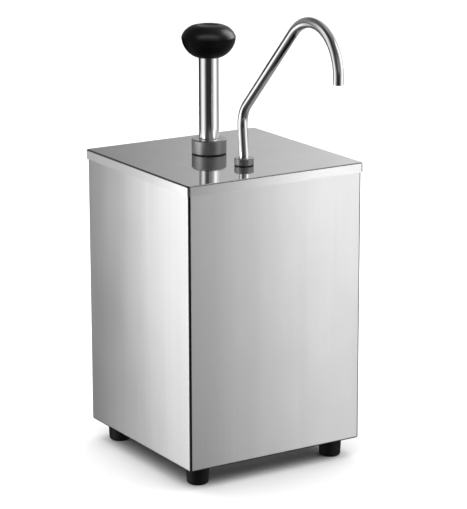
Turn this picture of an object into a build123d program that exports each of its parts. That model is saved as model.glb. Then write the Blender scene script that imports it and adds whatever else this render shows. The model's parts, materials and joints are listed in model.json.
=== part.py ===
"""Countertop condiment pump dispenser: square steel housing, lift-out jar, lift-off lid with a piston pump.

Millimetres, +Z up, front of the housing towards -Y. The origin is on the counter under the middle of the housing.
"""
from build123d import *
import os
from math import cos, radians, sin, sqrt, tan

os.makedirs("parts", exist_ok=True)

# Housing: one square shell with rounded bends, on four feet
HOUSING_WIDTH = 190.0
HOUSING_HEIGHT = 273.6      # shell underside to lid top
FOOT_HEIGHT = 19.0
SHELL_SHEET = 0.8
SHELL_BEND = 2.4            # outer radius of the upright corners
FLOOR_BEND = 1.8            # outer radius where the walls turn in under the floor
FLOOR_FLANGE = 34.0         # width of the shell's turned-in floor flange
BASE_SHEET = 1.0
BASE_WIDTH = 182.0
FIT_GAP = 0.2               # between parts that lie on each other and lift apart

# Lid: an inverted tray that drops over the top of the shell
LID_SHEET = 1.0
LID_WIDTH = 193.0
LID_FLANGE = 9.4
LID_CORNER = 3.0
LID_EDGE = 1.5

# Feet
FOOT_SPACING = 150.0
FOOT_TOP_RADIUS = 11.2
FOOT_BOTTOM_RADIUS = 10.4
FOOT_ROUNDING = 2.4
FOOT_RECESS_RADIUS = 5.6
FOOT_RECESS_DEPTH = 9.0
SCREW_RADIUS = 2.4
SCREW_HOLE_RADIUS = 2.6

# Jar
JAR_RADIUS = 80.0
JAR_SHEET = 1.0
JAR_DEPTH = 241.0
JAR_FLOOR_RADIUS = 12.0
JAR_BEAD_RADIUS = 3.0
GUIDE_GAP = 0.9             # between the jar and its guides
GUIDE_SHEET = 1.2

# Pump: cylinder and plunger on one axis, discharge tube and spout on another
PUMP_X = -5.0               # both axes stand a little to the left of the middle
PUMP_Y = 17.0
SPOUT_Y = -46.0
BORE_RADIUS = 12.7
CYLINDER_RADIUS = 14.3
STROKE = 58.5
PLUNGER_RADIUS = 9.525
PLUNGER_WALL = 1.25
RUNNING_GAP = 0.05
KNOB_RISE = 93.1            # lid top to knob underside with the plunger up
KNOB_RADIUS = 25.9
KNOB_HEIGHT = 30.8
COLLAR_RADIUS = 16.7
COLLAR_HEIGHT = 13.3
COLLAR_GASKET = 1.1
SPOUT_COLLAR_RADIUS = 9.15
SPOUT_COLLAR_HEIGHT = 6.3
SPOUT_GASKET = 0.9
CYLINDER_SHOULDER_RADIUS = 19.0
NECK_SHOULDER_RADIUS = 10.0
CYLINDER_GASKET_RADIUS = 18.6
COLLAR_GASKET_RADIUS = 16.2
NECK_GASKET_RADIUS = 9.6
SPOUT_GASKET_RADIUS = 8.8
DISCHARGE_BORE = 4.2
VENT_RADIUS = 1.5
PLUNGER_SEAL_RADIUS = 10.75     # to the middle of its wire
PLUNGER_SEAL_WIRE = 0.9
SPOUT_SEAL_RADIUS = 5.4
SPOUT_SEAL_WIRE = 0.5
PISTON_GROOVE_RADIUS = 10.5
PISTON_RING_HEIGHT = 2.2
PISTON_SCREW_RADIUS = 3.0
KNOB_STUD_RADIUS = 6.5

# Spout tube: a short riser leaning back, a bend, a long slant, and a wide bend down to the tip
SPOUT_RADIUS = 4.763
SPOUT_WALL = 0.9
SPOUT_PLUG_IN = 19.0        # how far the spout reaches below the lid top
SPOUT_LEAN = 5.4            # degrees
SPOUT_SLANT = 45.3          # degrees above level
SPOUT_RISER = 27.6
SPOUT_LOW_BEND = 29.0
SPOUT_ARM = 110.8
SPOUT_TOP_BEND = 41.7
SPOUT_TIP = 7.4
SPOUT_STRAIGHT = 8.0         # upright length above the lid, before the lean
SPOUT_FOOT_BEND = 30.0

# Valve body at the foot of the pump
VALVE_LOW = 27.0
VALVE_BOSS_RADIUS = 17.0
VALVE_BOSS_HEIGHT = 33.0
VALVE_ARM_WIDTH = 18.0
VALVE_ARM_HEIGHT = 22.0
OUTLET_BOSS_RADIUS = 10.0
OUTLET_BOSS_HEIGHT = 43.0
DISCHARGE_RADIUS = 6.35
INLET_BALL_RADIUS = 6.0
INLET_SEAT_RADIUS = 4.2
INLET_SEAT_HEIGHT = 6.0
INLET_LIFT = 4.0
OUTLET_BALL_RADIUS = 4.8
OUTLET_SEAT_RADIUS = 3.5
OUTLET_LIFT = 3.0
INLET_CHAMBER_RADIUS = 8.5
INLET_INSERT_RADIUS = 10.0
OUTLET_CHAMBER_RADIUS = 6.2
INLET_PIN_RADIUS = 1.0
OUTLET_PIN_RADIUS = 0.8
BALL_GAP = 0.3
SPRING_RADIUS = 10.6
SPRING_WIRE = 0.9
SPRING_TURNS = 11

# Heights that follow from the sizes above
FLOOR_LOW = FOOT_HEIGHT
LID_TOP = FLOOR_LOW + HOUSING_HEIGHT
LID_UNDER = LID_TOP - LID_SHEET
LID_LOW = LID_TOP - LID_FLANGE
SHELL_TOP = LID_UNDER - FIT_GAP
BASE_LOW = FLOOR_LOW + SHELL_SHEET
BASE_TOP = BASE_LOW + BASE_SHEET
JAR_TOP = BASE_TOP + JAR_DEPTH
VALVE_TOP = VALVE_LOW + VALVE_BOSS_HEIGHT
OUTLET_TOP = VALVE_LOW + OUTLET_BOSS_HEIGHT
CYLINDER_SOCKET = 10.0
CYLINDER_SEAT = VALVE_TOP - CYLINDER_SOCKET
TUBE_SEAT = OUTLET_TOP - 9.0
GASKET = 0.9
SPRING_LOW = CYLINDER_SEAT + 0.1
PISTON_HEIGHT = 16.0
PISTON_LOW = SPRING_LOW + STROKE + 43.3
PISTON_TOP = PISTON_LOW + PISTON_HEIGHT
KNOB_LOW = LID_TOP + KNOB_RISE
KNOB_SOCKET = 16.0
SHOULDER = 2.0              # thickness of the flanges that clamp the lid from below
SHOULDER_TOP = LID_UNDER - 1.0
COLLAR_LOW = LID_TOP + COLLAR_GASKET
COLLAR_TOP = COLLAR_LOW + COLLAR_HEIGHT
COLLAR_WEB = 3.0
BUSH_FLANGE = 1.1
CYLINDER_TOP = COLLAR_TOP - COLLAR_WEB - BUSH_FLANGE
SPOUT_COLLAR_LOW = LID_TOP + SPOUT_GASKET
SPOUT_COLLAR_TOP = SPOUT_COLLAR_LOW + SPOUT_COLLAR_HEIGHT
SPOUT_COLLAR_WEB = 2.0
FERRULE = 1.0
TUBE_TOP = SPOUT_COLLAR_TOP - SPOUT_COLLAR_WEB - FERRULE - 2 * FIT_GAP
NECK_RADIUS = 7.0
NECK_LOW = LID_TOP - 12.0

STANDING = (Align.CENTER, Align.CENTER, Align.MIN)


def disc(radius, low, high, x=0.0, y=0.0):
    """An upright cylinder between two heights."""
    return Pos(x, y, low) * Cylinder(radius, high - low, align=STANDING)


def ring(outer, inner, low, high, x=0.0, y=0.0):
    """An upright sleeve between two heights."""
    return disc(outer, low, high, x, y) - disc(inner, low - 1.0, high + 1.0, x, y)


def o_ring(middle, wire, height, x=0.0, y=0.0):
    """A round-section ring lying level at a height."""
    return Pos(x, y, height) * Torus(middle, wire)


def square_block(width, low, high, corner, edge, edge_face):
    """A square block with rounded upright corners, and one rounded rim: face 0 is the bottom, -1 the top."""
    block = Pos(0, 0, low) * Box(width, width, high - low, align=STANDING)
    block = fillet(block.edges().filter_by(Axis.Z), corner)
    return fillet(block.faces().sort_by(Axis.Z)[edge_face].edges(), edge)


def turned(outline, y=0.0):
    """Turn a closed outline, drawn in radius and height, about the upright axis at a depth y."""
    return Pos(0, y, 0) * revolve(make_face(Plane.XZ * outline), Axis.Z)


def onto_pump_axes(shape):
    """Move a shape drawn on the plane X = 0 onto the pump's axes, piece by piece if it has several."""
    if shape.children:
        return Compound(children=[Pos(PUMP_X, 0, 0) * piece for piece in shape.children])
    return Pos(PUMP_X, 0, 0) * shape


def foot_places():
    """The middle of each foot, with its name."""
    half = FOOT_SPACING / 2
    for side, x in (("left", -half), ("right", half)):
        for end, y in (("front", -half), ("rear", half)):
            yield f"foot_{end}_{side}", x, y


def at_each_foot(shape):
    """Four copies of a shape, one over each foot."""
    return Compound(children=[Pos(x, y, 0) * shape for _, x, y in foot_places()])


def foot_holes(low, high):
    """The screw holes over the feet."""
    return [disc(SCREW_HOLE_RADIUS, low, high, x, y) for _, x, y in foot_places()]


def housing_shell():
    """Four walls with a turned-in floor flange, open at the top."""
    inner_width = HOUSING_WIDTH - 2 * SHELL_SHEET
    outside = square_block(HOUSING_WIDTH, FLOOR_LOW, SHELL_TOP, SHELL_BEND, FLOOR_BEND, 0)
    inside = square_block(
        inner_width, BASE_LOW, SHELL_TOP + 5, SHELL_BEND - SHELL_SHEET, FLOOR_BEND - SHELL_SHEET, 0
    )
    opening_width = HOUSING_WIDTH - 2 * FLOOR_FLANGE
    opening = Pos(0, 0, FLOOR_LOW) * Box(opening_width, opening_width, 4 * SHELL_SHEET)
    opening = fillet(opening.edges().filter_by(Axis.Z), 8.0)
    shell = outside - inside - opening
    for hole in foot_holes(FLOOR_LOW - 1, BASE_LOW + 1):
        shell -= hole
    return shell


def base_plate():
    """The flat plate over the floor flange that carries the jar."""
    plate = Pos(0, 0, BASE_LOW) * Box(BASE_WIDTH, BASE_WIDTH, BASE_SHEET, align=STANDING)
    plate = fillet(plate.edges().filter_by(Axis.Z), 6.0)
    for hole in foot_holes(BASE_LOW - 1, BASE_TOP + 1):
        plate -= hole
    return plate


def jar_guides():
    """Four angle tabs on the base plate that centre the jar, one towards each corner."""
    leg, width, height = 9.0, 22.0, 14.0
    near = JAR_RADIUS + GUIDE_GAP
    upright = Pos(near + GUIDE_SHEET / 2, 0, BASE_TOP) * Box(GUIDE_SHEET, width, height, align=STANDING)
    flat = Pos(near + leg / 2, 0, BASE_TOP) * Box(leg, width, GUIDE_SHEET, align=STANDING)
    tab = upright + flat
    return Compound(children=[Rot(0, 0, 45 + 90 * k) * tab for k in range(4)])


def foot():
    """A rubber foot: a slightly tapered plug with a rounded lower edge and a screw recess."""
    half_round = FOOT_ROUNDING * (1 - sqrt(0.5))
    low_corner = FOOT_BOTTOM_RADIUS - FOOT_ROUNDING
    with BuildLine() as line:
        Polyline(
            (FOOT_BOTTOM_RADIUS, FOOT_ROUNDING),
            (FOOT_TOP_RADIUS, FOOT_HEIGHT),
            (SCREW_HOLE_RADIUS, FOOT_HEIGHT),
            (SCREW_HOLE_RADIUS, FOOT_RECESS_DEPTH),
            (FOOT_RECESS_RADIUS, FOOT_RECESS_DEPTH),
            (FOOT_RECESS_RADIUS, 0),
            (low_corner, 0),
        )
        ThreePointArc(
            (low_corner, 0),
            (FOOT_BOTTOM_RADIUS - half_round, half_round),
            (FOOT_BOTTOM_RADIUS, FOOT_ROUNDING),
        )
    return turned(line.line)


def foot_screw():
    """A pan-head screw that comes up through the foot, the flange and the base plate."""
    washer_low = FOOT_RECESS_DEPTH - 1.0
    head = disc(4.2, washer_low - 2.8, washer_low)
    head = chamfer(head.faces().sort_by(Axis.Z)[0].edges(), 0.8)
    slot = Pos(0, 0, washer_low - 2.8) * Box(1.1, 10, 2.2)
    return head - slot + disc(SCREW_RADIUS, washer_low - 0.1, BASE_TOP + 5.0)


def foot_washer():
    """The washer between the screw head and the rubber."""
    return ring(5.2, SCREW_HOLE_RADIUS, FOOT_RECESS_DEPTH - 1.0, FOOT_RECESS_DEPTH)


def foot_nut():
    """The hexagon nut that clamps each foot from inside."""
    nut = extrude(RegularPolygon(4.6, 6), 3.2)
    return Pos(0, 0, BASE_TOP) * nut - disc(SCREW_RADIUS + 0.02, BASE_TOP - 1, BASE_TOP + 5)


def jar():
    """A deep round jar with a rounded floor edge and a rolled rim."""
    outside = disc(JAR_RADIUS, BASE_TOP, JAR_TOP - JAR_BEAD_RADIUS)
    outside = fillet(outside.faces().sort_by(Axis.Z)[0].edges(), JAR_FLOOR_RADIUS)
    inside = disc(JAR_RADIUS - JAR_SHEET, BASE_TOP + JAR_SHEET, JAR_TOP + 5)
    inside = fillet(inside.faces().sort_by(Axis.Z)[0].edges(), JAR_FLOOR_RADIUS - JAR_SHEET)
    bead = o_ring(JAR_RADIUS + 0.8 * JAR_BEAD_RADIUS, JAR_BEAD_RADIUS, JAR_TOP - JAR_BEAD_RADIUS)
    return outside - inside + bead


def lid():
    """The square lid with its turned-down edge and the two necks' holes."""
    outside = square_block(LID_WIDTH, LID_LOW, LID_TOP, LID_CORNER, LID_EDGE, -1)
    inside = square_block(
        LID_WIDTH - 2 * LID_SHEET, LID_LOW - 5, LID_UNDER, LID_CORNER - LID_SHEET, LID_EDGE - LID_SHEET, -1
    )
    pump_hole = disc(CYLINDER_RADIUS + FIT_GAP, LID_UNDER - 1, LID_TOP + 1, PUMP_X, PUMP_Y)
    spout_hole = disc(NECK_RADIUS + FIT_GAP, LID_UNDER - 1, LID_TOP + 1, PUMP_X, SPOUT_Y)
    return outside - inside - pump_hole - spout_hole


def pump_cylinder():
    """The fixed cylinder, with the shoulder that clamps the lid and a vent above the piston."""
    tube = disc(CYLINDER_RADIUS, CYLINDER_SEAT + GASKET, CYLINDER_TOP, y=PUMP_Y)
    tube += disc(CYLINDER_SHOULDER_RADIUS, SHOULDER_TOP - SHOULDER, SHOULDER_TOP, y=PUMP_Y)
    tube -= disc(BORE_RADIUS, CYLINDER_SEAT - 1, CYLINDER_TOP + 1, y=PUMP_Y)
    vent = Pos(CYLINDER_RADIUS, PUMP_Y, LID_UNDER - 16) * Rot(0, 90, 0) * Cylinder(VENT_RADIUS, 8)
    return tube - vent


def collar(radius, low, top, web, neck, bore, y):
    """A screwed collar: a skirt round the threaded neck and a web with the tube's hole."""
    body = disc(radius, low, top, y=y)
    body = chamfer(body.faces().sort_by(Axis.Z)[-1].edges(), 0.055 * radius)
    body -= disc(neck + RUNNING_GAP, low - 1, top - web, y=y)
    return body - disc(bore, low - 1, top + 1, y=y)


def guide_bush():
    """The flanged bush that guides the plunger, with a groove for its seal."""
    bore = PLUNGER_RADIUS + RUNNING_GAP
    sleeve = disc(BORE_RADIUS - RUNNING_GAP, LID_TOP - 12, CYLINDER_TOP, y=PUMP_Y)
    sleeve += disc(CYLINDER_RADIUS - 0.1, CYLINDER_TOP, CYLINDER_TOP + BUSH_FLANGE, y=PUMP_Y)
    sleeve -= disc(bore, LID_TOP - 20, COLLAR_TOP + 5, y=PUMP_Y)
    return sleeve - ring(11.75, bore - 1, LID_TOP - 5.1, LID_TOP - 2.9, y=PUMP_Y)


def discharge_tube():
    """The rising tube, with its shoulder, threaded neck, spout socket and two seal grooves."""
    tube = disc(DISCHARGE_RADIUS, TUBE_SEAT + GASKET, TUBE_TOP, y=SPOUT_Y)
    tube += disc(NECK_RADIUS, NECK_LOW, TUBE_TOP, y=SPOUT_Y)
    tube += disc(NECK_SHOULDER_RADIUS, SHOULDER_TOP - SHOULDER, SHOULDER_TOP, y=SPOUT_Y)
    tube -= disc(DISCHARGE_BORE, TUBE_SEAT - 1, TUBE_TOP + 1, y=SPOUT_Y)
    tube -= disc(SPOUT_RADIUS + RUNNING_GAP, LID_TOP - SPOUT_PLUG_IN - FIT_GAP, TUBE_TOP + 1, y=SPOUT_Y)
    for height in spout_seal_heights():
        tube -= ring(5.95, 4.0, height - 0.65, height + 0.65, y=SPOUT_Y)
    return tube


def spout_seal_heights():
    """The two O-rings' heights in the spout socket."""
    return LID_TOP - 8.0, LID_TOP - 1.0


def spout_seals():
    """Two O-rings round the lower end of the spout."""
    rings = [
        o_ring(SPOUT_SEAL_RADIUS, SPOUT_SEAL_WIRE, height, y=SPOUT_Y) for height in spout_seal_heights()
    ]
    return Compound(children=rings)


def passage_height():
    """The level of the cross passage through the valve body."""
    return VALVE_LOW + 15.0


def outlet_seat_top():
    """The level of the outlet ball's seat."""
    return passage_height() + 5.0


def valve_body():
    """The cast body that joins the cylinder to the discharge tube, with both valve chambers."""
    arm_length = PUMP_Y - SPOUT_Y
    body = disc(VALVE_BOSS_RADIUS, VALVE_LOW, VALVE_TOP, y=PUMP_Y)
    body += disc(OUTLET_BOSS_RADIUS, VALVE_LOW, OUTLET_TOP, y=SPOUT_Y)
    arm = Box(VALVE_ARM_WIDTH, arm_length, VALVE_ARM_HEIGHT, align=STANDING)
    body += Pos(0, (PUMP_Y + SPOUT_Y) / 2, VALVE_LOW) * arm
    body -= disc(CYLINDER_RADIUS + RUNNING_GAP, CYLINDER_SEAT, VALVE_TOP + 1, y=PUMP_Y)
    body -= disc(INLET_CHAMBER_RADIUS, VALVE_LOW + INLET_SEAT_HEIGHT, CYLINDER_SEAT + 1, y=PUMP_Y)
    body -= disc(INLET_INSERT_RADIUS + RUNNING_GAP, VALVE_LOW - 1, VALVE_LOW + INLET_SEAT_HEIGHT, y=PUMP_Y)
    passage = Cylinder(OUTLET_SEAT_RADIUS, arm_length + 12)
    body -= Pos(0, SPOUT_Y + arm_length / 2 - 12, passage_height()) * Rot(90, 0, 0) * passage
    body -= disc(OUTLET_SEAT_RADIUS, passage_height(), outlet_seat_top() + 1, y=SPOUT_Y)
    body -= disc(OUTLET_CHAMBER_RADIUS, outlet_seat_top(), TUBE_SEAT + 1, y=SPOUT_Y)
    return body - disc(DISCHARGE_RADIUS + RUNNING_GAP, TUBE_SEAT, OUTLET_TOP + 1, y=SPOUT_Y)


def valve_body_gaskets():
    """The flat gaskets under the cylinder and under the discharge tube."""
    under_cylinder = ring(CYLINDER_RADIUS, BORE_RADIUS, CYLINDER_SEAT, CYLINDER_SEAT + GASKET, y=PUMP_Y)
    under_tube = ring(DISCHARGE_RADIUS, 4.6, TUBE_SEAT, TUBE_SEAT + GASKET, y=SPOUT_Y)
    return Compound(children=[under_cylinder, under_tube])


def passage_plug():
    """The plug that closes the drilled end of the cross passage."""
    face = SPOUT_Y - OUTLET_BOSS_RADIUS - 0.05
    lying = Rot(90, 0, 0)
    stem = Pos(0, face + 2.4, passage_height()) * lying * Cylinder(OUTLET_SEAT_RADIUS - RUNNING_GAP, 5.0)
    head = Pos(0, face - 1.25, passage_height()) * lying * extrude(RegularPolygon(5.0, 6), 1.25, both=True)
    return stem + head


def inlet_seat():
    """The screwed-in seat at the intake."""
    return ring(INLET_INSERT_RADIUS, INLET_SEAT_RADIUS, VALVE_LOW, VALVE_LOW + INLET_SEAT_HEIGHT, y=PUMP_Y)


def ball_on_seat(radius, seat_radius, seat_top, y):
    """A ball resting on the rim of its seat."""
    middle = seat_top + sqrt(radius**2 - seat_radius**2) + BALL_GAP
    return Pos(0, y, middle) * Sphere(radius), middle


def ball_pins():
    """The cross pins that limit how far each ball lifts."""
    _, inlet_middle = inlet_ball_and_middle()
    _, outlet_middle = outlet_ball_and_middle()
    inlet_height = inlet_middle + INLET_BALL_RADIUS + INLET_LIFT + BALL_GAP + 1.0
    outlet_height = outlet_middle + OUTLET_BALL_RADIUS + OUTLET_LIFT + BALL_GAP + 0.8
    lying = Rot(0, 90, 0)
    inlet_pin = Pos(0, PUMP_Y, inlet_height) * lying * Cylinder(INLET_PIN_RADIUS, 16.6)
    outlet_pin = Pos(0, SPOUT_Y, outlet_height) * lying * Cylinder(OUTLET_PIN_RADIUS, 12.2)
    return Compound(children=[inlet_pin, outlet_pin])


def inlet_ball_and_middle():
    """The intake's check ball."""
    return ball_on_seat(INLET_BALL_RADIUS, INLET_SEAT_RADIUS, VALVE_LOW + INLET_SEAT_HEIGHT, PUMP_Y)


def outlet_ball_and_middle():
    """The discharge side's check ball."""
    return ball_on_seat(OUTLET_BALL_RADIUS, OUTLET_SEAT_RADIUS, outlet_seat_top(), SPOUT_Y)


def return_spring():
    """The coil spring that lifts the plunger."""
    height = PISTON_LOW - SPRING_LOW - 2 * SPRING_WIRE - 0.1
    path = Helix(pitch=height / SPRING_TURNS, height=height, radius=SPRING_RADIUS)
    section = Plane(origin=path @ 0, z_dir=path % 0) * Circle(SPRING_WIRE)
    return Pos(0, PUMP_Y, SPRING_LOW + SPRING_WIRE) * sweep(section, path=path)


def piston():
    """The piston, with two grooves for its seal rings."""
    body = disc(BORE_RADIUS - 0.4, PISTON_LOW, PISTON_TOP, y=PUMP_Y)
    for height in piston_ring_heights():
        body -= ring(
            BORE_RADIUS + 1, PISTON_GROOVE_RADIUS, height - 0.1, height + PISTON_RING_HEIGHT + 0.1, y=PUMP_Y
        )
    return body - disc(PISTON_SCREW_RADIUS + 0.1, PISTON_LOW - 1, PISTON_TOP + 1, y=PUMP_Y)


def piston_ring_heights():
    """The lower face of each seal ring."""
    return PISTON_LOW + 3.0, PISTON_LOW + 10.5


def piston_rings():
    """Two seal rings that wipe the bore."""
    rings = [
        ring(BORE_RADIUS - 0.08, PISTON_GROOVE_RADIUS + 0.1, height, height + PISTON_RING_HEIGHT, y=PUMP_Y)
        for height in piston_ring_heights()
    ]
    return Compound(children=rings)


def stem_plug():
    """The plug in the lower end of the plunger tube that takes the piston screw."""
    plug_radius = PLUNGER_RADIUS - PLUNGER_WALL - 0.02
    return ring(plug_radius, PISTON_SCREW_RADIUS + RUNNING_GAP, PISTON_TOP, PISTON_TOP + 18, y=PUMP_Y)


def piston_screw():
    """The hexagon screw that holds the piston to the stem plug."""
    head = Pos(0, PUMP_Y, PISTON_LOW - 4.0) * extrude(RegularPolygon(6.0, 6), 4.0)
    return head + disc(PISTON_SCREW_RADIUS, PISTON_LOW - 0.5, PISTON_TOP + 15, y=PUMP_Y)


def plunger_tube():
    """The polished tube between the piston and the knob."""
    top = KNOB_LOW + KNOB_SOCKET
    return ring(PLUNGER_RADIUS, PLUNGER_RADIUS - PLUNGER_WALL, PISTON_TOP, top, y=PUMP_Y)


def knob():
    """A round knob: a bowl flaring from the tube, a full rim and a shallow dish on top."""
    socket = PLUNGER_RADIUS + 0.02
    neck_radius = 0.444 * KNOB_RADIUS
    widest = 0.63 * KNOB_HEIGHT
    dish_radius = 0.40 * KNOB_RADIUS
    rim_height = KNOB_HEIGHT - 0.1
    dish_depth = 1.2
    dish_sphere = (dish_radius**2 + dish_depth**2) / (2 * dish_depth)
    with BuildLine() as line:
        Polyline((0, rim_height), (0, 0), (neck_radius, 0))
        ThreePointArc((neck_radius, 0), (0.812 * KNOB_RADIUS, 0.212 * KNOB_HEIGHT), (KNOB_RADIUS, widest))
        ThreePointArc(
            (KNOB_RADIUS, widest), (0.800 * KNOB_RADIUS, 0.880 * KNOB_HEIGHT), (dish_radius, rim_height)
        )
        Line((dish_radius, rim_height), (0, rim_height))
    body = Pos(0, 0, KNOB_LOW) * turned(line.line, PUMP_Y)
    body -= Pos(0, PUMP_Y, KNOB_LOW + rim_height - dish_depth + dish_sphere) * Sphere(dish_sphere)
    body -= disc(socket, KNOB_LOW - 1, KNOB_LOW + KNOB_SOCKET, y=PUMP_Y)
    return body - disc(KNOB_STUD_RADIUS + RUNNING_GAP, KNOB_LOW, KNOB_LOW + KNOB_SOCKET + 8, y=PUMP_Y)


def knob_insert():
    """The metal insert moulded into the knob and screwed into the tube."""
    inside = PLUNGER_RADIUS - PLUNGER_WALL - 0.02
    stud = disc(inside, KNOB_LOW + 2, KNOB_LOW + KNOB_SOCKET, y=PUMP_Y)
    return stud + disc(KNOB_STUD_RADIUS, KNOB_LOW + KNOB_SOCKET - 0.5, KNOB_LOW + KNOB_SOCKET + 8, y=PUMP_Y)


def spout_path():
    """The spout's centre line, from inside the socket to the tip."""
    lean, slant = radians(SPOUT_LEAN), radians(SPOUT_SLANT)
    low_tangent = SPOUT_LOW_BEND * tan((radians(90) + lean - slant) / 2)
    top_tangent = SPOUT_TOP_BEND * tan((radians(90) + slant) / 2)
    points = [Vector(0, SPOUT_Y, LID_TOP - SPOUT_PLUG_IN), Vector(0, SPOUT_Y, LID_TOP + SPOUT_STRAIGHT)]
    riser = SPOUT_RISER + low_tangent
    points.append(points[-1] + Vector(0, sin(lean), cos(lean)) * riser)
    arm = low_tangent + SPOUT_ARM + top_tangent
    points.append(points[-1] + Vector(0, -cos(slant), sin(slant)) * arm)
    points.append(points[-1] - Vector(0, 0, top_tangent + SPOUT_TIP))
    return FilletPolyline(*points, radius=[SPOUT_FOOT_BEND, SPOUT_LOW_BEND, SPOUT_TOP_BEND])


def spout_tube():
    """The bent spout."""
    path = spout_path()
    start = Plane(origin=path @ 0, z_dir=path % 0)
    outside = sweep(start * Circle(SPOUT_RADIUS), path=path)
    return outside - sweep(start * Circle(SPOUT_RADIUS - SPOUT_WALL), path=path)


def spout_ferrule():
    """The washer brazed to the spout that keeps it under its collar."""
    low = TUBE_TOP + FIT_GAP
    return ring(6.3, SPOUT_RADIUS + 0.02, low, low + FERRULE, y=SPOUT_Y)


PARTS = {
    "housing_shell": housing_shell(),
    "base_plate": base_plate(),
    "jar_guides": jar_guides(),
    "foot_screws": at_each_foot(foot_screw()),
    "foot_washers": at_each_foot(foot_washer()),
    "foot_nuts": at_each_foot(foot_nut()),
    "jar": jar(),
    "lid": lid(),
}

# The pump and spout are drawn on the plane X = 0
PUMP_PARTS = {
    "pump_cylinder": pump_cylinder(),
    "cylinder_gasket": ring(
        CYLINDER_GASKET_RADIUS, CYLINDER_RADIUS + FIT_GAP, SHOULDER_TOP, LID_UNDER, y=PUMP_Y
    ),
    "lock_collar": collar(
        COLLAR_RADIUS, COLLAR_LOW, COLLAR_TOP, COLLAR_WEB, CYLINDER_RADIUS, PLUNGER_RADIUS + 0.4, PUMP_Y
    ),
    "collar_gasket": ring(COLLAR_GASKET_RADIUS, CYLINDER_RADIUS + FIT_GAP, LID_TOP, COLLAR_LOW, y=PUMP_Y),
    "guide_bush": guide_bush(),
    "plunger_seal": o_ring(PLUNGER_SEAL_RADIUS, PLUNGER_SEAL_WIRE, LID_TOP - 4.0, y=PUMP_Y),
    "discharge_tube": discharge_tube(),
    "neck_gasket": ring(NECK_GASKET_RADIUS, NECK_RADIUS + FIT_GAP, SHOULDER_TOP, LID_UNDER, y=SPOUT_Y),
    "spout_collar": collar(
        SPOUT_COLLAR_RADIUS, SPOUT_COLLAR_LOW, SPOUT_COLLAR_TOP, SPOUT_COLLAR_WEB, NECK_RADIUS,
        SPOUT_RADIUS + FIT_GAP, SPOUT_Y,
    ),
    "spout_gasket": ring(SPOUT_GASKET_RADIUS, NECK_RADIUS + FIT_GAP, LID_TOP, SPOUT_COLLAR_LOW, y=SPOUT_Y),
    "spout_seals": spout_seals(),
    "valve_body": valve_body(),
    "valve_body_gaskets": valve_body_gaskets(),
    "passage_plug": passage_plug(),
    "inlet_seat": inlet_seat(),
    "ball_pins": ball_pins(),
    "return_spring": return_spring(),
    "plunger_tube": plunger_tube(),
    "piston": piston(),
    "piston_rings": piston_rings(),
    "stem_plug": stem_plug(),
    "piston_screw": piston_screw(),
    "knob": knob(),
    "knob_insert": knob_insert(),
    "spout_tube": spout_tube(),
    "spout_ferrule": spout_ferrule(),
    "inlet_ball": inlet_ball_and_middle()[0],
    "outlet_ball": outlet_ball_and_middle()[0],
}
for foot_name, foot_x, foot_y in foot_places():
    PARTS[foot_name] = Pos(foot_x, foot_y, 0) * foot()

for pump_node, pump_shape in PUMP_PARTS.items():
    PARTS[pump_node] = onto_pump_axes(pump_shape)

for node, shape in PARTS.items():
    export_step(shape, f"parts/{node}.step")
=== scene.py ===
"""Looks for the countertop condiment pump dispenser: materials, floor, world, lights and camera."""
import json
from math import cos, pi, radians, sin

import bpy
from mathutils import Matrix, Vector

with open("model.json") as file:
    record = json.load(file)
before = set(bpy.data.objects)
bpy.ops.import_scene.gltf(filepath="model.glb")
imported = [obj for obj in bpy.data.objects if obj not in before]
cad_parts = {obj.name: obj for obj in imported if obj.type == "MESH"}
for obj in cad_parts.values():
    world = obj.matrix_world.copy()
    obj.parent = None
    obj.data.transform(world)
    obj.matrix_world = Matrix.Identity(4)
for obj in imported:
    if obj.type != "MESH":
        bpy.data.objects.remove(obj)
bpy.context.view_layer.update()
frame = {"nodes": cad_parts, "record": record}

# Camera, aimed from the front left and a little above
AIM = Vector((0.0085, -0.0052, 0.1948))
CAMERA_YAW = radians(31.865)
CAMERA_PITCH = radians(14.719)
CAMERA_ROLL = radians(-0.117)
CAMERA_DISTANCE = 2.3246
LENS = 170.5
SENSOR = 36.0

# The studio, set out along the camera's line: BACK is away from the camera, RIGHT is to its right
BACK = Vector((sin(CAMERA_YAW), cos(CAMERA_YAW), 0.0))
RIGHT = Vector((cos(CAMERA_YAW), -sin(CAMERA_YAW), 0.0))
UP = Vector((0.0, 0.0, 1.0))
# The room above the horizon: along each direction its brightness runs from one level to another, as the
# share of a look that points that way runs between two more
WALL_GRADIENTS = (
    (RIGHT, 0.24, 0.75, -0.067, 0.060),
    (UP, 1.0, 0.50, 0.36, 0.62),
    (BACK, 0.30, 1.0, -0.30, 0.30),
)
# The room below the horizon, in the same terms: a level, but for dark stretches on the camera's side, behind
# on the left and straight down
LOW_LIGHT = 0.35
LOW_SHADES = (
    (-BACK, 1.0, 0.08, 0.62, 0.90),
    (0.87 * BACK - 0.50 * RIGHT, 1.0, 0.06, 0.68, 0.86),
    (-UP, 1.0, 0.03, 0.64, 0.95),
)
HORIZON_START, HORIZON_END = -0.10, 0.05
# The painted dark reflection along the housing's lower rim, which is bent under; the same colour is painted
# along the lid's left bend
PAINTED_EDGE_REFLECTION = (0.05, 0.05, 0.05)
HEM_TOP = 0.0210
HEM_BLUR = 0.0008
# The upright bends are rubbed smoother than the faces, and carry a painted dark reflection
PAINTED_BEND_REFLECTION = (0.15, 0.15, 0.15)
BEND_ROUGH = (0.08, 0.14)
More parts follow.
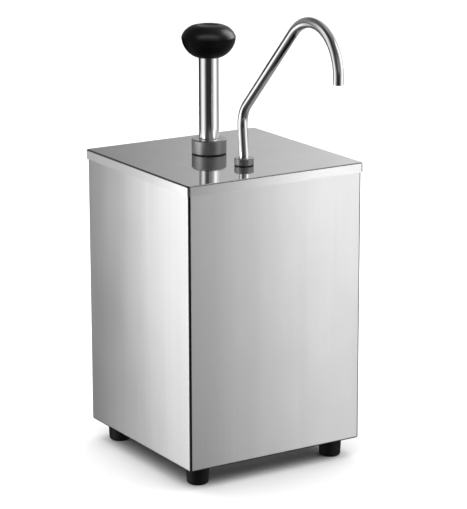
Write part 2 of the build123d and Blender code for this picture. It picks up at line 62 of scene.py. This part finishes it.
# Noise cycles per metre along x, y and z
BROAD_BANDS = (45.0, 45.0, 1.2)
SMUDGES = (9.0, 9.0, 7.0)
SMEARS = (22.0, 30.0, 26.0)
HAIR_SCRATCHES = (240.0, 2600.0, 2600.0)
SLOW_WAVES = (14.0, 14.0, 14.0)
FLANGE_GRAIN = (30.0, 30.0, 2400.0)
LATHE_RINGS = (20.0, 20.0, 5200.0)
BLOTCHES = (160.0, 160.0, 160.0)
SCUFFS = (70.0, 70.0, 90.0)
FLOOR_CLOUDS = (3.0, 3.0, 3.0)
# Bump depths in metres
SHEET_WAVE = 0.0004
SHEET_GRAIN = 0.000006
POLISH_WAVE = 0.0002
HAIR_DEPTH = 0.000002
RING_DEPTH = 0.00001
FLOOR_HALF = 12.0

# Lights, in metres from the middle of the housing. The standing ones start this far below the counter
STANDING_DROP = 0.15
SLANT_LIGHT = Vector((-0.35, 0.29, 0.11))
SLANT_MIDDLE = Vector((0.0, -0.12, 0.36))
KNOB_MIDDLE = 0.4 * UP
ABOVE_KNOB = -0.55 * BACK + 1.2 * UP
BESIDE_KNOB = 0.55 * RIGHT + 0.35 * BACK + 0.75 * UP
ABOVE_FLOOR = 0.2 * BACK + 2.6 * UP
# Which pieces have lights of their own
INNER = ("jar", "pump_cylinder", "discharge_tube")
TUBES = ("plunger_tube", "spout_tube", *INNER)


# ---------------------------------------------------------------- nodes

def new_material(name):
    """A node material with an empty Principled shader, and its node maker."""
    material = bpy.data.materials.new(name)
    material.use_nodes = True
    return material, material.node_tree.nodes, material.node_tree.links


def set_values(node, **values):
    """Set a node's inputs by name, with underscores for spaces."""
    for name, value in values.items():
        node.inputs[name.replace("_", " ")].default_value = value
    return node


def streaks(nodes, links, scale, detail=3.0):
    """Noise over the object's own coordinates, with so many cycles per metre in each direction."""
    place = nodes.new("ShaderNodeTexCoord")
    stretch = nodes.new("ShaderNodeMapping")
    set_values(stretch, Scale=scale)
    noise = nodes.new("ShaderNodeTexNoise")
    set_values(noise, Scale=1.0, Detail=detail, Roughness=0.6)
    links.new(place.outputs["Object"], stretch.inputs["Vector"])
    links.new(stretch.outputs["Vector"], noise.inputs["Vector"])
    return noise.outputs["Fac"]


def to_range(nodes, links, value, low, high, low_in=0.3, high_in=0.7):
    """Rescale a noise value to a range."""
    node = nodes.new("ShaderNodeMapRange")
    set_values(node, From_Min=low_in, From_Max=high_in, To_Min=low, To_Max=high)
    links.new(value, node.inputs["Value"])
    return node.outputs["Result"]


def mix_values(nodes, links, a, b, share):
    """Blend two noise values by a fixed share."""
    node = nodes.new("ShaderNodeMix")
    node.inputs["Factor"].default_value = share
    links.new(a, node.inputs[2])
    links.new(b, node.inputs[3])
    return node.outputs[0]


def multiply(nodes, links, a, b):
    """The product of two values."""
    node = nodes.new("ShaderNodeMath")
    node.operation = "MULTIPLY"
    links.new(a, node.inputs[0])
    links.new(b, node.inputs[1])
    return node.outputs["Value"]


def to_colour(nodes, links, value, dark, light):
    """Blend two colours by a noise value."""
    ramp = nodes.new("ShaderNodeValToRGB")
    ramp.color_ramp.elements[0].position = 0.3
    ramp.color_ramp.elements[1].position = 0.7
    ramp.color_ramp.elements[0].color = (*dark, 1.0)
    ramp.color_ramp.elements[1].color = (*light, 1.0)
    links.new(value, ramp.inputs["Fac"])
    return ramp.outputs["Color"]


def bump(nodes, links, height, distance, under=None):
    """A bump from a height value, on top of another bump if there is one."""
    node = nodes.new("ShaderNodeBump")
    set_values(node, Strength=1.0, Distance=distance)
    links.new(height, node.inputs["Height"])
    if under is not None:
        links.new(under, node.inputs["Normal"])
    return node.outputs["Normal"]


def blend_values(nodes, links, factor, a, b):
    """Blend two values by a mask."""
    node = nodes.new("ShaderNodeMix")
    links.new(factor, node.inputs["Factor"])
    links.new(a, node.inputs[2])
    links.new(b, node.inputs[3])
    return node.outputs[0]


def blend_colour(nodes, links, factor, colour, other):
    """Blend a colour with a fixed one by a mask."""
    node = nodes.new("ShaderNodeMix")
    node.data_type = "RGBA"
    links.new(factor, node.inputs["Factor"])
    links.new(colour, node.inputs[6])
    node.inputs[7].default_value = (*other, 1.0)
    return node.outputs[2]


def magnitude(nodes, links, value):
    """A value without its sign."""
    node = nodes.new("ShaderNodeMath")
    node.operation = "ABSOLUTE"
    links.new(value, node.inputs[0])
    return node.outputs["Value"]


def axes(nodes, links, vector):
    """The X, Y and Z outputs of a vector."""
    split = nodes.new("ShaderNodeSeparateXYZ")
    links.new(vector, split.inputs["Vector"])
    return split.outputs


def normal_axes(nodes, links):
    """The parts of the surface normal along the object's X, Y and Z."""
    return axes(nodes, links, nodes.new("ShaderNodeTexCoord").outputs["Normal"])


def on_bends(nodes, links):
    """A mask that is 1 where a sheet turns an upright corner, so that its normal is between two walls'."""
    normal = normal_axes(nodes, links)
    size = magnitude(nodes, links, multiply(nodes, links, normal["X"], normal["Y"]))
    return to_range(nodes, links, size, 0.0, 1.0, 0.05, 0.22)


def on_left_bend(nodes, links):
    """A mask that is 1 where the lid turns down over its left side, so that its normal is up and left."""
    normal = normal_axes(nodes, links)
    product = multiply(nodes, links, normal["X"], normal["Z"])
    return to_range(nodes, links, product, 1.0, 0.0, -0.22, -0.05)


def on_top(nodes, links):
    """A mask that is 1 on faces that look up."""
    return to_range(nodes, links, normal_axes(nodes, links)["Z"], 0.0, 1.0, 0.2, 0.9)


def below(nodes, links, height, depth):
    """A mask that is 1 under a height in the object's own coordinates."""
    place = axes(nodes, links, nodes.new("ShaderNodeTexCoord").outputs["Object"])
    return to_range(nodes, links, place["Z"], 1.0, 0.0, height - depth, height)


def brushed_steel(name, dark, light, rough, anisotropy, grain=900.0, length=5.0, hem=HEM_TOP):
    """Sheet steel with an upright brushed grain, broad bands and smudges, a painted dark reflection below its
    hem and painted dark reflections on its upright bends.
    """
    material, nodes, links = new_material(name)
    shader = nodes["Principled BSDF"]
    set_values(shader, Metallic=1.0, Anisotropic=anisotropy)
    fine = streaks(nodes, links, (grain, grain, length), 4.0)
    broad = streaks(nodes, links, BROAD_BANDS, 2.0)
    smudge = streaks(nodes, links, SMUDGES)
    shade = mix_values(nodes, links, fine, broad, 0.45)
    bend = on_bends(nodes, links)
    sheet = to_colour(nodes, links, shade, dark, light)
    # Painted dark reflection: a dark line below the hem height
    hem_painted_reflection = blend_colour(nodes, links, below(nodes, links, hem, HEM_BLUR), sheet, PAINTED_EDGE_REFLECTION)
    # Painted dark reflection on the upright bends, where the sheet turns a corner
    links.new(blend_colour(nodes, links, bend, hem_painted_reflection, PAINTED_BEND_REFLECTION), shader.inputs["Base Color"])
    gloss = mix_values(nodes, links, fine, smudge, 0.5)
    rubbed = to_range(nodes, links, fine, *BEND_ROUGH)
    brushed = to_range(nodes, links, gloss, *rough)
    links.new(blend_values(nodes, links, bend, brushed, rubbed), shader.inputs["Roughness"])
    wave = bump(nodes, links, smudge, SHEET_WAVE)
    links.new(bump(nodes, links, fine, SHEET_GRAIN, wave), shader.inputs["Normal"])
    tangent = nodes.new("ShaderNodeTangent")
    tangent.direction_type = "RADIAL"
    tangent.axis = "Z"
    links.new(tangent.outputs["Tangent"], shader.inputs["Tangent"])
    return material


def polished_steel(name, dark, light, rough):
    """Polished steel: slightly wavy, with hair scratches and faint smears."""
    material, nodes, links = new_material(name)
    shader = nodes["Principled BSDF"]
    set_values(shader, Metallic=1.0)
    smear = streaks(nodes, links, SMEARS, 4.0)
    hair = streaks(nodes, links, HAIR_SCRATCHES)
    wave = streaks(nodes, links, SLOW_WAVES, 1.0)
    links.new(to_colour(nodes, links, smear, dark, light), shader.inputs["Base Color"])
    gloss = mix_values(nodes, links, smear, hair, 0.4)
    links.new(to_range(nodes, links, gloss, *rough), shader.inputs["Roughness"])
    slow = bump(nodes, links, wave, POLISH_WAVE)
    links.new(bump(nodes, links, hair, HAIR_DEPTH, slow), shader.inputs["Normal"])
    return material


def lid_steel(name, dark, light, rough, edge_colour, edge_rough):
    """The lid's sheet: polished on top, brushed along its turned-down flange, and a painted dark reflection
    on its left bend.
    """
    material = polished_steel(name, dark, light, rough)
    nodes, links = material.node_tree.nodes, material.node_tree.links
    shader = nodes["Principled BSDF"]
    polish = shader.inputs["Roughness"].links[0].from_socket
    bright = shader.inputs["Base Color"].links[0].from_socket
    flat = on_top(nodes, links)
    brushed = to_range(nodes, links, streaks(nodes, links, FLANGE_GRAIN), *edge_rough)
    links.new(blend_values(nodes, links, flat, brushed, polish), shader.inputs["Roughness"])
    edge = to_range(nodes, links, flat, 1.0, 0.0, 0.0, 1.0)
    sheet = blend_colour(nodes, links, edge, bright, edge_colour)
    # Painted dark reflection along the lid's left bend
    bend_painted_reflection = blend_colour(nodes, links, on_left_bend(nodes, links), sheet, PAINTED_EDGE_REFLECTION)
    links.new(bend_painted_reflection, shader.inputs["Base Color"])
    return material


def turned_steel(name, dark, light, rough, top_colour, top_rough):
    """Satin steel off a lathe: fine level rings round the sides, and a smoother, brighter top face."""
    material, nodes, links = new_material(name)
    shader = nodes["Principled BSDF"]
    set_values(shader, Metallic=1.0, Anisotropic=0.4)
    rings = streaks(nodes, links, LATHE_RINGS)
    blotch = streaks(nodes, links, BLOTCHES, 4.0)
    shade = mix_values(nodes, links, rings, blotch, 0.5)
    side_colour = to_colour(nodes, links, shade, dark, light)
    side_rough = to_range(nodes, links, shade, *rough)
    top = on_top(nodes, links)
    faced = to_range(nodes, links, blotch, *top_rough)
    links.new(blend_colour(nodes, links, top, side_colour, top_colour), shader.inputs["Base Color"])
    links.new(blend_values(nodes, links, top, side_rough, faced), shader.inputs["Roughness"])
    links.new(bump(nodes, links, rings, RING_DEPTH), shader.inputs["Normal"])
    return material


def moulded(name, dark, light, rough, grain=1500.0, depth=0.00002, specular=0.5):
    """Plastic or rubber: a fine moulded grain, with scuffed and smooth places."""
    material, nodes, links = new_material(name)
    shader = nodes["Principled BSDF"]
    set_values(shader, Specular_IOR_Level=specular)
    fine = streaks(nodes, links, (grain, grain, grain))
    scuff = streaks(nodes, links, SCUFFS, 5.0)
    shade = mix_values(nodes, links, fine, scuff, 0.6)
    links.new(to_colour(nodes, links, shade, dark, light), shader.inputs["Base Color"])
    links.new(to_range(nodes, links, shade, *rough), shader.inputs["Roughness"])
    links.new(bump(nodes, links, fine, depth), shader.inputs["Normal"])
    return material


def grey(value):
    """A neutral colour."""
    return (value, value, value)


MATERIALS = {
    "steel_brushed": brushed_steel(
        "brushed_sheet", dark=grey(0.49), light=grey(0.55), rough=(0.36, 0.44), anisotropy=0.6,
    ),
    "steel_mirror": polished_steel("polished_steel", dark=grey(0.80), light=grey(0.86), rough=(0.07, 0.13)),
    "steel_satin": turned_steel(
        "turned_steel", dark=grey(0.26), light=grey(0.34), rough=(0.42, 0.56),
        top_colour=grey(0.66), top_rough=(0.10, 0.20),
    ),
    "steel_plain": brushed_steel(
        "plain_sheet", dark=grey(0.50), light=grey(0.60), rough=(0.30, 0.42), anisotropy=0.3,
        grain=500.0, length=40.0, hem=0.0,
    ),
    "knob_black": moulded(
        "black_knob", dark=grey(0.0015), light=grey(0.003), rough=(0.28, 0.38), specular=0.12,
    ),
    "rubber_black": moulded(
        "black_rubber", dark=grey(0.003), light=grey(0.008), rough=(0.55, 0.75),
        grain=2200.0, depth=0.00005, specular=0.15,
    ),
    "seal_black": moulded(
        "seal_rubber", dark=grey(0.010), light=grey(0.020), rough=(0.5, 0.7), specular=0.3,
    ),
    "bush_white": moulded("white_acetal", dark=grey(0.68), light=grey(0.76), rough=(0.35, 0.5)),
    "cast_white": moulded("moulded_white", dark=grey(0.60), light=grey(0.70), rough=(0.45, 0.6)),
}
LID_MATERIAL = lid_steel(
    "lid_sheet", dark=grey(0.80), light=grey(0.86), rough=(0.03, 0.07),
    edge_colour=grey(0.47), edge_rough=(0.32, 0.42),
)


def paint_frame():
    """Give every CAD piece the finished material of its slot; the lid has its own."""
    for part in frame["record"]["subparts"]:
        mesh = frame["nodes"][part["node"]].data
        mesh.materials.clear()
        mesh.materials.append(MATERIALS[part["material_slot"]])
    frame["nodes"]["lid"].data.materials[0] = LID_MATERIAL


# ---------------------------------------------------------------- stage

def add_floor():
    """A plain pale floor, which the steel doesn't reflect."""
    sides = (-FLOOR_HALF, FLOOR_HALF)
    corners = [(x, y, 0.0) for x in sides for y in sides]
    mesh = bpy.data.meshes.new("floor")
    mesh.from_pydata(corners, [], [(0, 2, 3, 1)])
    floor = bpy.data.objects.new("floor", mesh)
    bpy.context.scene.collection.objects.link(floor)
    material, nodes, links = new_material("pale_floor")
    shader = nodes["Principled BSDF"]
    shade = streaks(nodes, links, FLOOR_CLOUDS, 2.0)
    links.new(to_colour(nodes, links, shade, grey(0.86), grey(0.88)), shader.inputs["Base Color"])
    set_values(shader, Roughness=0.9, Specular_IOR_Level=0.1)
    mesh.materials.append(material)
    floor.visible_glossy = False


def soft_edges(light, softness, foot, head):
    """Fade a light's face towards its two upright edges, and grade it from its foot to its head."""
    light.use_nodes = True
    nodes, links = light.node_tree.nodes, light.node_tree.links
    face = axes(nodes, links, nodes.new("ShaderNodeNewGeometry").outputs["Parametric"])
    centred = nodes.new("ShaderNodeMath")
    centred.operation = "SUBTRACT"
    centred.inputs[1].default_value = 0.5
    links.new(face["X"], centred.inputs[0])
    fade = nodes.new("ShaderNodeMapRange")
    fade.interpolation_type = "SMOOTHSTEP"
    set_values(fade, From_Min=0.5, From_Max=0.5 - softness, To_Min=0.0, To_Max=1.0)
    links.new(magnitude(nodes, links, centred.outputs["Value"]), fade.inputs["Value"])
    rise = to_range(nodes, links, face["Y"], foot, head, 0.0, 1.0)
    links.new(multiply(nodes, links, fade.outputs["Result"], rise), nodes["Emission"].inputs["Strength"])


def area_light(name, place, target, width, height, brightness, use="both", softness=0.0, foot=1.0, head=1.0):
    """A rectangular soft light at a place, facing a target. Its face's brightness is 1 where it is white."""
    light = bpy.data.lights.new(name, "AREA")
    light.shape = "RECTANGLE"
    light.size, light.size_y = width, height
    light.energy = brightness * pi * width * height
    if softness > 0.0:
        soft_edges(light, softness, foot, head)
    lamp = bpy.data.objects.new(name, light)
    lamp.location = place
    lamp.rotation_euler = (target - place).to_track_quat("-Z", "Y").to_euler()
    lamp.visible_camera = False
    lamp.visible_diffuse = use != "shine"
    lamp.visible_glossy = use != "floor"
    bpy.context.scene.collection.objects.link(lamp)
    return lamp


def standing_light(name, right, back, width, height, brightness, softness=0.5, foot=1.0, head=1.0):
    """An upright softbox beside the dispenser, which only its gloss picks up."""
    middle = (0.5 * height - STANDING_DROP) * UP
    place = right * RIGHT + back * BACK + middle
    return area_light(name, place, middle, width, height, brightness, "shine", softness, foot, head)


def only_for(lamps, pieces, included):
    """Let some lights reach a few CAD pieces alone, or every piece but those."""
    chosen = bpy.data.collections.new("lit_" + lamps[0].name)
    for node in pieces:
        chosen.objects.link(frame["nodes"][node])
    if not included:
        for member in chosen.collection_objects:
            member.light_linking.link_state = "EXCLUDE"
    for lamp in lamps:
        lamp.light_linking.receiver_collection = chosen


def add_side_lights():
    """Softboxes close by on both sides and a wide one further off, which the tubes and the knob don't see."""
    sides = [
        standing_light(
            "right_softbox", right=0.31, back=-0.14, width=0.30, height=0.5, brightness=2.25,
            foot=0.62, head=1.22,
        ),
        standing_light(
            "right_front_softbox", right=0.90, back=-0.60, width=0.80, height=1.0, brightness=0.14,
            softness=0.4, foot=0.30, head=1.40,
        ),
        standing_light(
            "left_softbox", right=-0.26, back=-0.10, width=0.24, height=0.5, brightness=5.6,
            foot=0.58, head=1.16,
        ),
    ]
    only_for(sides, ("knob", *TUBES), False)


def add_tube_lights():
    """Wide softboxes on both sides of the tubes, and one behind for the underside of the spout's slant."""
    tube_lights = [
        standing_light("left_tube_softbox", right=-0.785, back=-0.24, width=1.3, height=1.4, brightness=0.80),
        standing_light("right_tube_softbox", right=0.776, back=-0.15, width=1.3, height=1.4, brightness=0.95),
    ]
    only_for(tube_lights, TUBES, True)
    slant_light = area_light(
        "slant_softbox", SLANT_LIGHT, SLANT_MIDDLE, width=0.5, height=0.36, brightness=0.8,
        use="shine", softness=0.5,
    )
    only_for([slant_light], ("spout_tube",), True)


def add_piece_lights():
    """A softbox for the lid's left flange, one for the housing's rear, and one for what lifts out of it."""
    flange_light = standing_light(
        "flange_softbox", right=-0.54, back=0.20, width=0.9, height=1.0, brightness=0.8,
    )
    only_for([flange_light], ("lid",), True)
    rear_light = standing_light(
        "rear_softbox", right=0.14, back=0.60, width=0.7, height=0.9, brightness=0.9,
    )
    only_for([rear_light], ("housing_shell",), True)
    inner_light = standing_light(
        "inner_softbox", right=0.0, back=-1.5, width=1.6, height=2.4, brightness=0.30,
    )
    only_for([inner_light], INNER, True)


def add_knob_lights():
    """One softbox over the knob and one beside it."""
    knob_lights = [
        area_light("knob_top_softbox", ABOVE_KNOB, KNOB_MIDDLE, width=1.5, height=0.26, brightness=9.0),
        area_light("knob_rim_softbox", BESIDE_KNOB, KNOB_MIDDLE, width=0.45, height=0.6, brightness=10.0),
    ]
    only_for(knob_lights, ("knob",), True)


def add_floor_wash():
    """A wide light that looks straight down and brightens the floor alone."""
    wash = area_light(
        "floor_wash", ABOVE_FLOOR, ABOVE_FLOOR - UP, width=7.0, height=7.0, brightness=2.1, use="floor",
    )
    wash.rotation_euler = (0.0, 0.0, -CAMERA_YAW)


def along(nodes, links, place, direction):
    """How far the world's direction points along another."""
    node = nodes.new("ShaderNodeVectorMath")
    node.operation = "DOT_PRODUCT"
    node.inputs[1].default_value = direction
    links.new(place, node.inputs[0])
    return node.outputs["Value"]


def graded(nodes, links, place, gradients):
    """The product of some gradients, each along its own direction."""
    level = None
    for direction, low, high, low_in, high_in in gradients:
        step = to_range(nodes, links, along(nodes, links, place, direction), low, high, low_in, high_in)
        level = step if level is None else multiply(nodes, links, level, step)
    return level


def add_world():
    """A dim studio: a far wall that is brighter to the right, and the room's low part below the horizon."""
    world = bpy.data.worlds.new("studio")
    world.use_nodes = True
    nodes, links = world.node_tree.nodes, world.node_tree.links
    place = nodes.new("ShaderNodeTexCoord").outputs["Generated"]
    wall = graded(nodes, links, place, WALL_GRADIENTS)
    low = nodes.new("ShaderNodeMath")
    low.operation = "MULTIPLY"
    low.inputs[1].default_value = LOW_LIGHT
    links.new(graded(nodes, links, place, LOW_SHADES), low.inputs[0])
    height = along(nodes, links, place, UP)
    rise = to_range(nodes, links, height, 0.0, 1.0, HORIZON_START, HORIZON_END)
    background = nodes["Background"]
    background.inputs["Color"].default_value = (1.0, 1.0, 1.0, 1.0)
    strength = blend_values(nodes, links, rise, low.outputs["Value"], wall)
    links.new(strength, background.inputs["Strength"])
    bpy.context.scene.world = world


def add_camera():
    """The camera, turned from looking along +Y by its yaw and down by its pitch."""
    away = Vector((
        sin(CAMERA_YAW) * cos(CAMERA_PITCH),
        cos(CAMERA_YAW) * cos(CAMERA_PITCH),
        -sin(CAMERA_PITCH),
    ))
    camera = bpy.data.cameras.new("camera")
    camera.lens = LENS
    camera.sensor_width = SENSOR
    camera.sensor_fit = "AUTO"
    holder = bpy.data.objects.new("camera", camera)
    turn = away.to_track_quat("-Z", "Y").to_matrix() @ Matrix.Rotation(CAMERA_ROLL, 3, "Z")
    holder.matrix_world = Matrix.Translation(AIM - away * CAMERA_DISTANCE) @ turn.to_4x4()
    bpy.context.scene.collection.objects.link(holder)
    bpy.context.scene.camera = holder


paint_frame()
add_floor()
add_world()
add_side_lights()
add_tube_lights()
add_piece_lights()
add_knob_lights()
add_floor_wash()
add_camera()
bpy.context.scene.view_settings.view_transform = "Standard"
